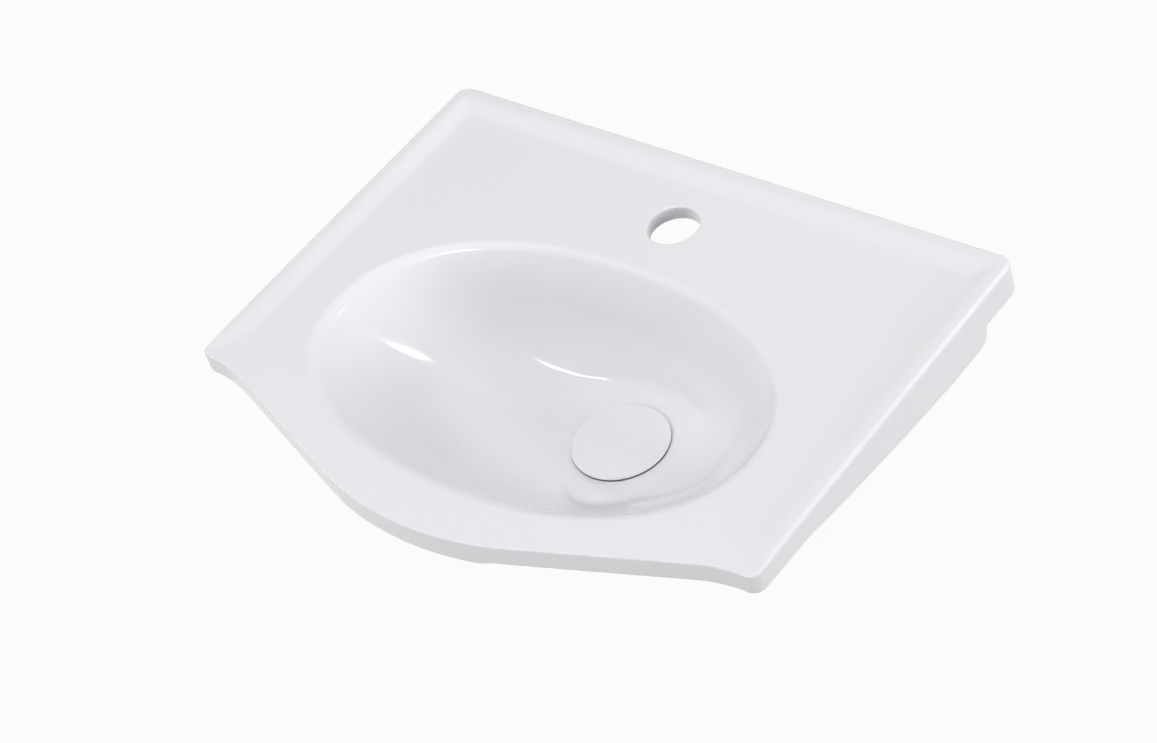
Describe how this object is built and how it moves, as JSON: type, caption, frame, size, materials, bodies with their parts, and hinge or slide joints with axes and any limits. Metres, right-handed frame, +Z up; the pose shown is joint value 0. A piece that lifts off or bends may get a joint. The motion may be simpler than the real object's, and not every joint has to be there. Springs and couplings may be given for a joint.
{
  "type": "bow-front hand basin",
  "caption": "Small rectangular hand basin with a bowed front, raised rims, oval bowl, tap hole and a push-open waste with a round cover.",
  "frame": {"origin": "centre of the flat back edge, on the wall plane", "axes": "+Z up, +Y into the wall, front is -Y, +X to the right seen from the front"},
  "size_m": [0.45, 0.34, 0.1791],
  "materials": {
    "basin_glaze": "glossy white glaze",
    "cover_glaze": "glossy white glaze",
    "carrier_brass": "turned",
    "latch_brass": "turned",
    "nut_brass": "cast and machined",
    "seal_rubber": "moulded",
    "black_rubber": "moulded",
    "foam_rubber": "closed-cell foam",
    "white_nylon": "moulded",
    "waste_chrome": "polished plating",
    "bright_steel": "zinc plated",
    "spring_steel": "drawn wire"
  },
  "bodies": {
    "basin": {"basin_body": "basin_glaze", "waste_body": "waste_chrome", "flange_gasket": "foam_rubber", "under_gasket": "black_rubber", "slip_washer": "white_nylon", "back_nut": "nut_brass", "latch_cage": "latch_brass", "latch_spring": "spring_steel"},
    "cover": {"waste_cap": "cover_glaze", "cap_carrier": "carrier_brass", "cap_seal": "seal_rubber", "cap_lock_nut": "bright_steel", "latch_plunger": "latch_brass", "plunger_clip": "spring_steel"},
    "latch_follower": {"latch_pin": "bright_steel"}
  },
  "joints": [
    {"name": "cover_lift", "type": "slide", "parent": "basin", "child": "cover", "axis": [0, 0, 1], "range_m": [0, 0.008], "deforming": ["latch_spring"]},
    {"name": "pin_swing", "type": "hinge", "parent": "basin", "child": "latch_follower", "pos_m": [0.0057, -0.1544, -0.1403], "axis": [1, 0, 0], "range_deg": [0, 4.1]}
  ],
  "couplings": [
    {"joint": "pin_swing", "follows": "cover_lift", "rad_per_m": 8.7266}
  ]
}
